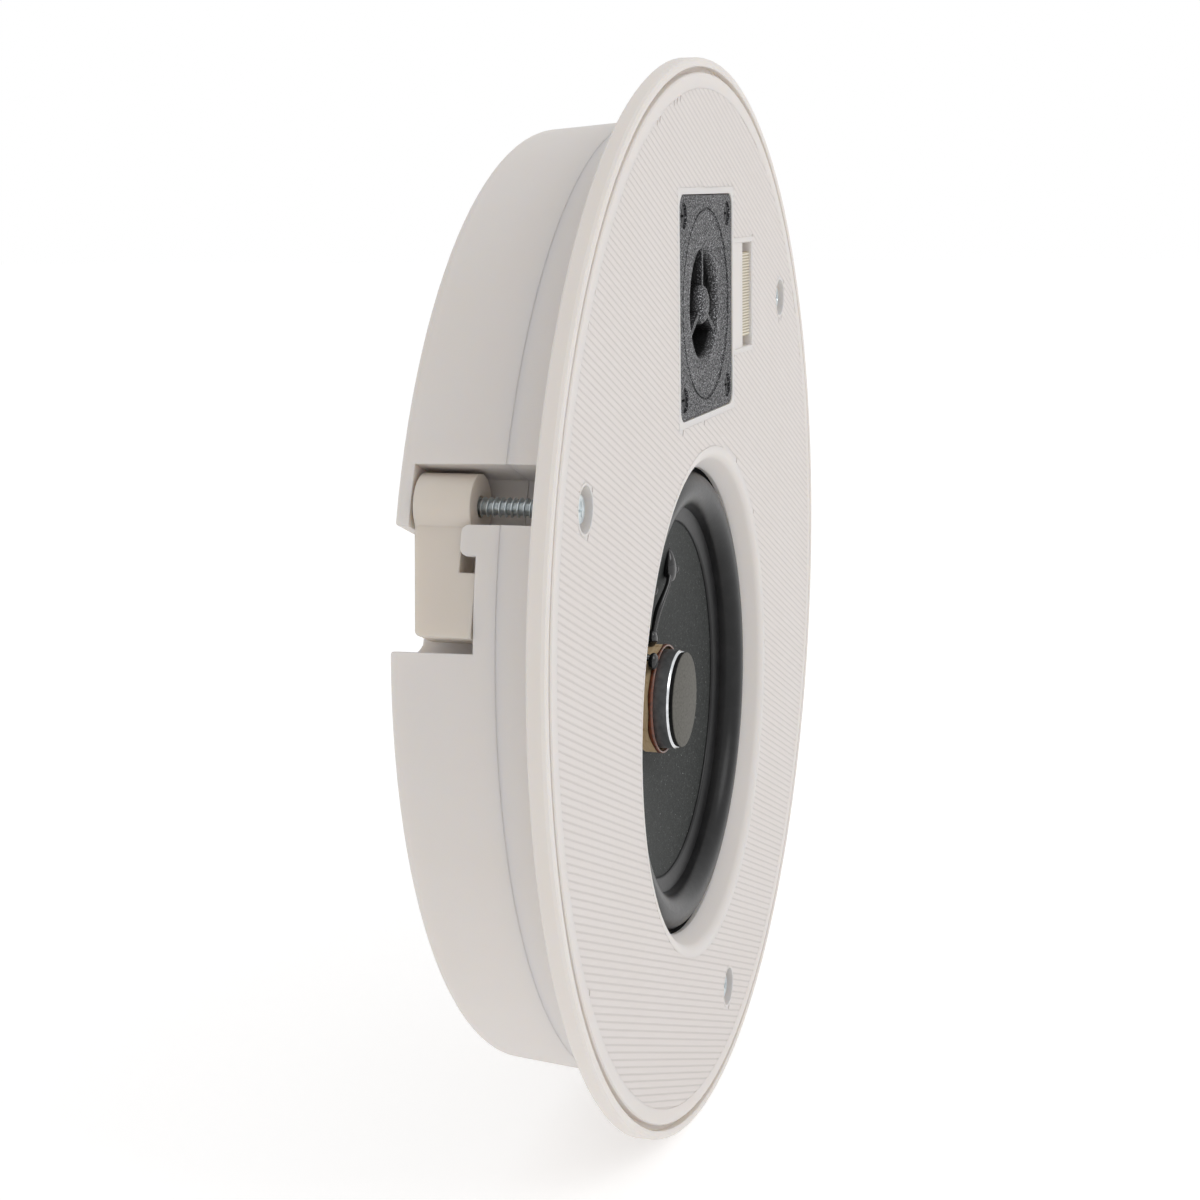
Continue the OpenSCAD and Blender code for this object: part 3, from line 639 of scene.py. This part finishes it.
CREST_R = 50.7
ROLL_R = 4.5
ROLL_Y = 4.1
ROLL_THICK = 0.7
RIM_R = 60.15
RIM_FRONT_Y, RIM_BACK_Y = 3.52, 3.98
CONE_R = 46.2
LIP_R = 42.7


def surround_outer():
    """The surround's outer half: from its crest out and down to the flat rim under the baffle."""
    outline = arc(CREST_R, ROLL_Y, ROLL_R, -90, -7, 14)
    outline += [(CREST_R + ROLL_R + 0.4, RIM_FRONT_Y), (RIM_R, RIM_FRONT_Y),
                (RIM_R, RIM_BACK_Y), (CREST_R + ROLL_R - 0.5, RIM_BACK_Y)]
    outline += arc(CREST_R, ROLL_Y, ROLL_R - ROLL_THICK, -6, -90, 12)
    bm = bmesh.new()
    lathe(bm, outline, (0, WOOFER_Z))
    return new_piece("surround_outer", bm, RUBBER, sharp=50)


def surround_inner():
    """The surround's inner half: from its crest in to the lip that is glued on the cone."""
    outline = arc(CREST_R, ROLL_Y, ROLL_R, -90, -168, 14)
    lip = [(CONE_R, 4.75), (LIP_R + 0.3, 5.75), (LIP_R, 6.15), (LIP_R, 6.38)]
    outline += rounded(lip, 0.25, 3, False)
    outline += [(CONE_R, 4.98)]
    outline += arc(CREST_R, ROLL_Y, ROLL_R - ROLL_THICK, -170, -90, 12)
    bm = bmesh.new()
    lathe(bm, outline, (0, WOOFER_Z))
    return new_piece("surround_inner", bm, RUBBER, sharp=50)


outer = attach(surround_outer(), "frame")
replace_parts(outer, "woofer_surround")
inner = surround_inner()
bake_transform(inner)


BEAD_AT = (12.86, 6.95)
BEAD_R = 0.32


def former_rim():
    """Uneven bead of brown lacquer round the former's front edge."""
    bm = bmesh.new()
    lathe(bm, arc(*BEAD_AT, BEAD_R, 0, 360, 9)[:-1], (0, WOOFER_Z))
    rand = random.Random(4)
    waves = [(rand.randint(2, 11), rand.uniform(0, math.tau), rand.uniform(0.03, 0.09))
             for _ in range(6)]
    centre = Vector((0, 0, WOOFER_Z * MM))
    for v in bm.verts:
        angle = math.atan2(v.co.z - centre.z, v.co.x)
        wave = sum(h * math.sin(n * angle + p) for n, p, h in waves)
        if v.co.y > BEAD_AT[1] * MM:
            v.co.y += (0.3 + wave) * 1.8 * MM
    return new_piece("former_rim", bm, VARNISH, sharp=180)


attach(former_rim(), "cone")


PLUG_R = 11.9
PLUG_Y, PLUG_BACK_Y = 3.1, 9
SPIGOT_R, SPIGOT_END_Y = 2.9, 13.5
CHAMFER_WIDE, CHAMFER_DEEP = 0.42, 0.5
PAD_R = 11.38
PAD_FACE_Y = 2.05
FLAT_R = PAD_R - 0.3


def plug():
    """The turned pole plug: a dark body on a spigot, a bright chamfer, and a flat for its pad."""
    bm = bmesh.new()
    body = [(0, SPIGOT_END_Y), (SPIGOT_R, SPIGOT_END_Y), (SPIGOT_R, PLUG_BACK_Y),
            (PLUG_R, PLUG_BACK_Y), (PLUG_R, PLUG_Y + CHAMFER_DEEP)]
    chamfer = [(PLUG_R, PLUG_Y + CHAMFER_DEEP), (PLUG_R - CHAMFER_WIDE, PLUG_Y), (FLAT_R, PLUG_Y)]
    lathe(bm, rounded(body, 0.12, 2, False), (0, WOOFER_Z), closed=False)
    lathe(bm, rounded(chamfer, 0.14, 3, False), (0, WOOFER_Z), closed=False, material_index=1)
    lathe(bm, [(FLAT_R, PLUG_Y), (0, PLUG_Y)], (0, WOOFER_Z), closed=False)
    bmesh.ops.remove_doubles(bm, verts=bm.verts, dist=JOIN_WITHIN)
    piece = new_piece("pole_plug", bm, DARK_STEEL, sharp=30)
    piece.data.materials.append(BRIGHT_STEEL)
    return piece


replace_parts(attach(plug(), "frame"), "phase_plug")


def pad():
    """The pressed pad on the plug's face, with a soft edge and a side in the dark foam finish as
    painted shade in the gap by the chamfer.
    """
    bm = bmesh.new()
    side = [(0, PLUG_Y), (PAD_R - 0.1, PLUG_Y), (PAD_R, PLUG_Y - 0.1), (PAD_R, PAD_FACE_Y + 0.2)]
    face = [(PAD_R, PAD_FACE_Y + 0.2), (PAD_R - 0.06, PAD_FACE_Y + 0.06),
            (PAD_R - 0.22, PAD_FACE_Y), (0, PAD_FACE_Y)]
    # The side takes the dark foam finish as painted shade in the gap by the chamfer.
    lathe(bm, side, (0, WOOFER_Z), closed=False, material_index=1)
    lathe(bm, face, (0, WOOFER_Z), closed=False)
    bmesh.ops.remove_doubles(bm, verts=bm.verts, dist=JOIN_WITHIN)
    piece = new_piece("plug_face_pad", bm, PAD, sharp=60)
    piece.data.materials.append(FOAM)
    return piece


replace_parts(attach(pad(), "frame"), "plug_pad")


CONE_NECK_R, CONE_NECK_Y = 14.5, 11.7
CONE_SLOPE = 0.1872


def cone_y(x, z):
    """Depth of the cone's front face at a place measured from the woofer's axis."""
    return CONE_NECK_Y - (math.hypot(x, z) - CONE_NECK_R) * CONE_SLOPE


# Each lead: eyelet, middle and low point as (x, z) from the axis, then the joint's angle and y
LEADS = {
    "right": ((8.0, 31.6), (0.8, 21.0), (-1.0, 15.6), 93, 9.8),
    "left": ((-10.6, 29.5), (-11.6, 21.0), (-11.0, 13.6), 130, 7.3),
}
LEAD_R, LEAD_WAVE = 0.78, 0.12
JOINT_R = 15.0
EYELET_SIZE = (2.4, 1.7, 4.0)
KNOT_SIZE = (1.3, 1.3, 1.3)
JOINT_SIZE = (1.9, 1.3, 1.9)


def over_cone(at, lift):
    """A point over the cone's front face, in metres, at (x, z) from the woofer's axis."""
    return Vector((at[0], cone_y(*at) - lift, WOOFER_Z + at[1])) * MM


def leads():
    """Two leads on the cone, each from its sealed eyelet in to a solder joint on the former."""
    made = []
    for name, (eye_at, mid_at, low_at, angle, joint_y) in LEADS.items():
        eye = over_cone(eye_at, 0.5)
        middle = over_cone(mid_at, 1.6)
        low = over_cone(low_at, 1.9)
        joint = at_woofer(JOINT_R, angle, joint_y)
        rise = (eye * 0.6 + middle * 0.4) - Vector((0, 0.9, 0)) * MM
        path = smooth_path([eye, rise, middle, low, joint])
        bm = bmesh.new()
        tube(bm, path, [(LEAD_R + LEAD_WAVE * math.cos(i * 0.4)) * MM for i in range(len(path))])
        made.append(new_piece(f"lead_{name}", bm, GLUE, sharp=80))
        made.append(blob(f"eyelet_glue_{name}", eye + Vector((0, 0.1, 0)) * MM,
                         EYELET_SIZE, len(name), 0.3, GLUE))
        made.append(blob(f"eyelet_knot_{name}", eye + Vector((1.3, -0.8, -1.6)) * MM,
                         KNOT_SIZE, 40 + len(name), 0.45, GLUE))
        made.append(blob(f"joint_glue_{name}", joint, JOINT_SIZE, 21 + len(name), 0.25, GLUE))
    for piece in made:
        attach(piece, "cone")
    return made


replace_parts(leads()[0], "coil_leads")


SPIDER_SECTORS = 12
SPIDER_Y = 14.6
SPIDER_THICK = 0.5
SPIDER_INNER, SPIDER_OUTER = 13.0, 36.8
WAVE_FROM, WAVE_TO = 17, 32
WAVE_STEPS = 32
WAVE_HEIGHT = 0.8


def spider_sector(k):
    """One sector of the spider, from the coil former out to the basket."""
    step = (WAVE_TO - WAVE_FROM) / WAVE_STEPS
    wave = [(WAVE_FROM + i * step, WAVE_HEIGHT * math.sin(i * math.pi / 2))
            for i in range(WAVE_STEPS + 1)]
    line = [(SPIDER_INNER, 0), (WAVE_FROM - 1, 0), *wave, (WAVE_TO + 1, 0), (SPIDER_OUTER, 0)]
    outline = [(r, SPIDER_Y - SPIDER_THICK - w) for r, w in line]
    outline += [(r, SPIDER_Y - w) for r, w in reversed(line)]
    wide = math.tau / SPIDER_SECTORS
    bm = bmesh.new()
    lathe(bm, outline, (0, WOOFER_Z), steps=12 * SPIDER_SECTORS)

    def outside(face):
        at = face.calc_center_median() / MM
        return int(math.atan2(at.z - WOOFER_Z, at.x) % math.tau / wide) != k

    bmesh.ops.delete(bm, geom=[f for f in bm.faces if outside(f)], context="FACES")
    bmesh.ops.holes_fill(bm, edges=[e for e in bm.edges if e.is_boundary])
    piece = new_piece(f"spider_sector_{k}", bm, SPIDER, sharp=60)
    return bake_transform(piece)


for k in range(SPIDER_SECTORS):
    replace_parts(spider_sector(k), "woofer_spider")


def tinsel():
    """The braided leads, which hang in a loop from the cone to the terminals."""
    piece = bpy.data.objects.new("tinsel_braid", NODES["tinsel_leads"].data.copy())
    bpy.context.scene.collection.objects.link(piece)
    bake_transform(piece)
    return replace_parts(piece, "tinsel_leads")


tinsel()


# Clamp screws


CREST, CORE = 1.95, 1.5
THREAD_PITCH = 1.25
THREAD_FROM = -2.0
THREAD_TO = 32.0
HEAD_R = 3.55
HEAD_BACK_Y, HEAD_FRONT_Y = -1.4, -3.1
HEAD_ANGLE = 20
RECESS_R = 1.9
SLOT_HALF, SLOT_REACH, SLOT_DEEP = 0.36, 1.65, 1.15
SLOT_TAPER = 0.45
RECESS_EDGE = 0.02


def screw(i):
    """A clamp screw with its thread, tip and pan head with a cross recess."""
    a = math.radians(CLAMP_ANGLES[i])
    at = Vector((HINGE_R * math.cos(a), 0, HINGE_R * math.sin(a)))
    bm = bmesh.new()
    steps = 28
    profile = [(0.0, CORE), (0.3, CORE), (0.44, CREST), (0.56, CREST), (0.7, CORE)]
    last = int((THREAD_TO - THREAD_FROM) / THREAD_PITCH) * steps
    rows = []
    for k in range(last + 1):
        turn = k / steps
        y = THREAD_FROM + turn * THREAD_PITCH
        angle = math.tau * turn
        rows.append([
            bm.verts.new((at + Vector((r * math.cos(angle), y + share * THREAD_PITCH,
                                       r * math.sin(angle)))) * MM)
            for share, r in profile])
    for k in range(last):
        for j in range(len(profile) - 1):
            bm.faces.new((rows[k][j], rows[k][j + 1], rows[k + 1][j + 1], rows[k + 1][j]))
        if k + steps < last:
            bm.faces.new((rows[k][-1], rows[k + steps][0], rows[k + steps + 1][0],
                          rows[k + 1][-1]))
    bmesh.ops.remove_doubles(bm, verts=bm.verts, dist=JOIN_WITHIN)
    centre = (at.x, at.z)
    rod = [(0, THREAD_TO - 0.4), (CORE, THREAD_TO - 0.4), (CORE, THREAD_FROM), (0, THREAD_FROM)]
    lathe(bm, rod, centre, steps=steps, closed=False)
    head = [(0, HEAD_BACK_Y), (HEAD_R, HEAD_BACK_Y), (3.5, -2.2), (2.8, HEAD_FRONT_Y + 0.1),
            (RECESS_R, HEAD_FRONT_Y), (RECESS_R, HEAD_FRONT_Y + RECESS_EDGE)]
    lathe(bm, rounded(head, 0.25, 3, False), centre, steps=64, closed=False)
    recess(bm, at, math.radians(HEAD_ANGLE + CLAMP_ANGLES[i]))
    return new_piece(f"clamp_screw_thread_{i}", bm, ZINC, sharp=40)


def recess(bm, at, turn):
    """The middle of a screw head: a disc with a cross cut that tapers to its floor."""
    edge_y, floor_y = HEAD_FRONT_Y + RECESS_EDGE, HEAD_FRONT_Y + SLOT_DEEP
    rim, cross, bottom = [], [], []
    corners = []
    for q in range(4):
        base = turn + q * math.pi / 2
        corners += [(base, SLOT_REACH, -SLOT_HALF), (base, SLOT_REACH, SLOT_HALF),
                    (base, SLOT_HALF, SLOT_HALF)]
    for base, outward, across in corners:
        c, s = math.cos(base), math.sin(base)
        x, z = outward * c - across * s, outward * s + across * c
        cross.append(bm.verts.new(Vector((at.x + x, edge_y, at.z + z)) * MM))
        bottom.append(bm.verts.new(Vector((
            at.x + x * SLOT_TAPER, floor_y, at.z + z * SLOT_TAPER)) * MM))
        angle = math.atan2(z, x)
        rim.append(bm.verts.new(Vector((
            at.x + RECESS_R * math.cos(angle), edge_y, at.z + RECESS_R * math.sin(angle))) * MM))
    n = len(cross)
    for k in range(n):
        j = (k + 1) % n
        bm.faces.new((rim[k], rim[j], cross[j], cross[k]))
        bm.faces.new((cross[k], cross[j], bottom[j], bottom[k]))
    bm.faces.new(bottom)


for i in CLAMP_ANGLES:
    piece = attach(screw(i), f"screw_{i}")
    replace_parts(piece, f"clamp_screw_{i}")


# Tweeter


CAP_R = 4.66


def horn_cap():
    """The crowned body in the middle of the horn, over the place where its vanes meet."""
    bm = bmesh.new()
    crown = [(0, -3.94), (1.6, -3.9), (2.9, -3.72), (3.9, -3.3), (4.5, -2.6), (CAP_R, -1.8)]
    lathe(bm, [*crown, (CAP_R, -0.2), (4.5, 0.0), (0, 0.0)], (0, TWEETER_Z), steps=72,
          closed=False)
    return new_piece("horn_cap", bm, GRAIN_AND_THROAT_SHADE, sharp=60)


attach(horn_cap(), "frame")


# Camera, from the photograph's fitted view


CAMERA_AT = Vector((-0.495667, -0.126425, 0.096341))
CAMERA_RIGHT = Vector((0.28604327, -0.95811014, -0.01429024))
CAMERA_DOWN = Vector((-0.18115955, -0.03942864, -0.98266301))
CAMERA_AHEAD = Vector((0.94093595, 0.28367296, -0.1848491))
CAMERA_LENS, CAMERA_SENSOR = 65.70, 36.0

camera = bpy.data.objects.new("camera", bpy.data.cameras.new("camera"))
bpy.context.scene.collection.objects.link(camera)
camera.data.lens = CAMERA_LENS
camera.data.sensor_width = CAMERA_SENSOR
camera.data.clip_start = 0.01
camera.data.clip_end = 20.0
turn = Matrix((CAMERA_RIGHT, -CAMERA_DOWN, -CAMERA_AHEAD)).transposed()
camera.matrix_world = Matrix.Translation(CAMERA_AT) @ turn.to_4x4()
bpy.context.scene.camera = camera


# Floor, lamp and world


FLOOR_Z = -0.1256
FLOOR_HALF = 6
FLOOR_GLOW, FLOOR_GLOW_SEEN = 0.3, 0.36
SKY_LEVEL, SKY_TOP = 0.44, 0.84
SKY_TOP_FROM = 0.8


def background_rays(tree):
    """1 for the rays that see the plain background: camera, glossy and transmission rays."""
    rays = tree.nodes.new("ShaderNodeLightPath")
    seen = rays.outputs["Is Camera Ray"]
    for other in ("Is Glossy Ray", "Is Transmission Ray"):
        either = tree.nodes.new("ShaderNodeMath")
        either.operation = "MAXIMUM"
        tree.links.new(seen, either.inputs[0])
        tree.links.new(rays.outputs[other], either.inputs[1])
        seen = either.outputs[0]
    return seen


def floor():
    """A pale floor that looks white where no shadow falls."""
    bm = bmesh.new()
    bmesh.ops.create_grid(bm, x_segments=1, y_segments=1, size=FLOOR_HALF)
    for v in bm.verts:
        v.co.z = FLOOR_Z
    m = Finish("floor", srgb(240, 240, 240), 0.9)
    material = m.done()
    output = m.tree.nodes["Material Output"]
    shaders = []
    for strength in (FLOOR_GLOW, FLOOR_GLOW_SEEN):
        glow = m.add("ShaderNodeEmission", in_Strength=strength)
        lit = m.add("ShaderNodeAddShader")
        m.link(m.shader.outputs[0], lit.inputs[0])
        m.link(glow.outputs[0], lit.inputs[1])
        shaders.append(lit.outputs[0])
    choose = m.add("ShaderNodeMixShader")
    m.link(background_rays(m.tree), choose.inputs["Fac"])
    m.link(shaders[0], choose.inputs[1])
    m.link(shaders[1], choose.inputs[2])
    m.link(choose.outputs[0], output.inputs["Surface"])
    return new_piece("floor", bm, material, smooth=False)


floor()


def lamp(name, at, size, power):
    """A square soft lamp that faces the object's middle."""
    data = bpy.data.lights.new(name, "AREA")
    data.shape = "SQUARE"
    data.size = size
    data.energy = power
    obj = bpy.data.objects.new(name, data)
    bpy.context.scene.collection.objects.link(obj)
    obj.location = at
    obj.rotation_mode = "QUATERNION"
    obj.rotation_quaternion = (-Vector(at)).to_track_quat("-Z", "Y")


lamp("key", (-0.35, -1.5, 1.1), 0.9, 7)


def world():
    """White light all round, stronger from above, that looks plain white itself."""
    made = bpy.data.worlds.new("world")
    made.use_nodes = True
    tree = made.node_tree
    sky = tree.nodes["Background"]
    sky.inputs["Color"].default_value = (1, 1, 1, 1)
    where = tree.nodes.new("ShaderNodeTexCoord")
    split = tree.nodes.new("ShaderNodeSeparateXYZ")
    climb = tree.nodes.new("ShaderNodeMapRange")
    for key, number in (("From Min", 0.0), ("From Max", SKY_TOP_FROM),
                        ("To Min", SKY_LEVEL), ("To Max", SKY_TOP)):
        climb.inputs[key].default_value = number
    tree.links.new(where.outputs["Generated"], split.inputs["Vector"])
    tree.links.new(split.outputs["Z"], climb.inputs["Value"])
    tree.links.new(climb.outputs["Result"], sky.inputs["Strength"])
    white = tree.nodes.new("ShaderNodeBackground")
    white.inputs["Color"].default_value = (1, 1, 1, 1)
    white.inputs["Strength"].default_value = 1.0
    choose = tree.nodes.new("ShaderNodeMixShader")
    tree.links.new(background_rays(tree), choose.inputs["Fac"])
    tree.links.new(sky.outputs[0], choose.inputs[1])
    tree.links.new(white.outputs[0], choose.inputs[2])
    tree.links.new(choose.outputs[0], tree.nodes["World Output"].inputs["Surface"])
    bpy.context.scene.world = made


world()
bpy.context.scene.view_settings.view_transform = "Standard"
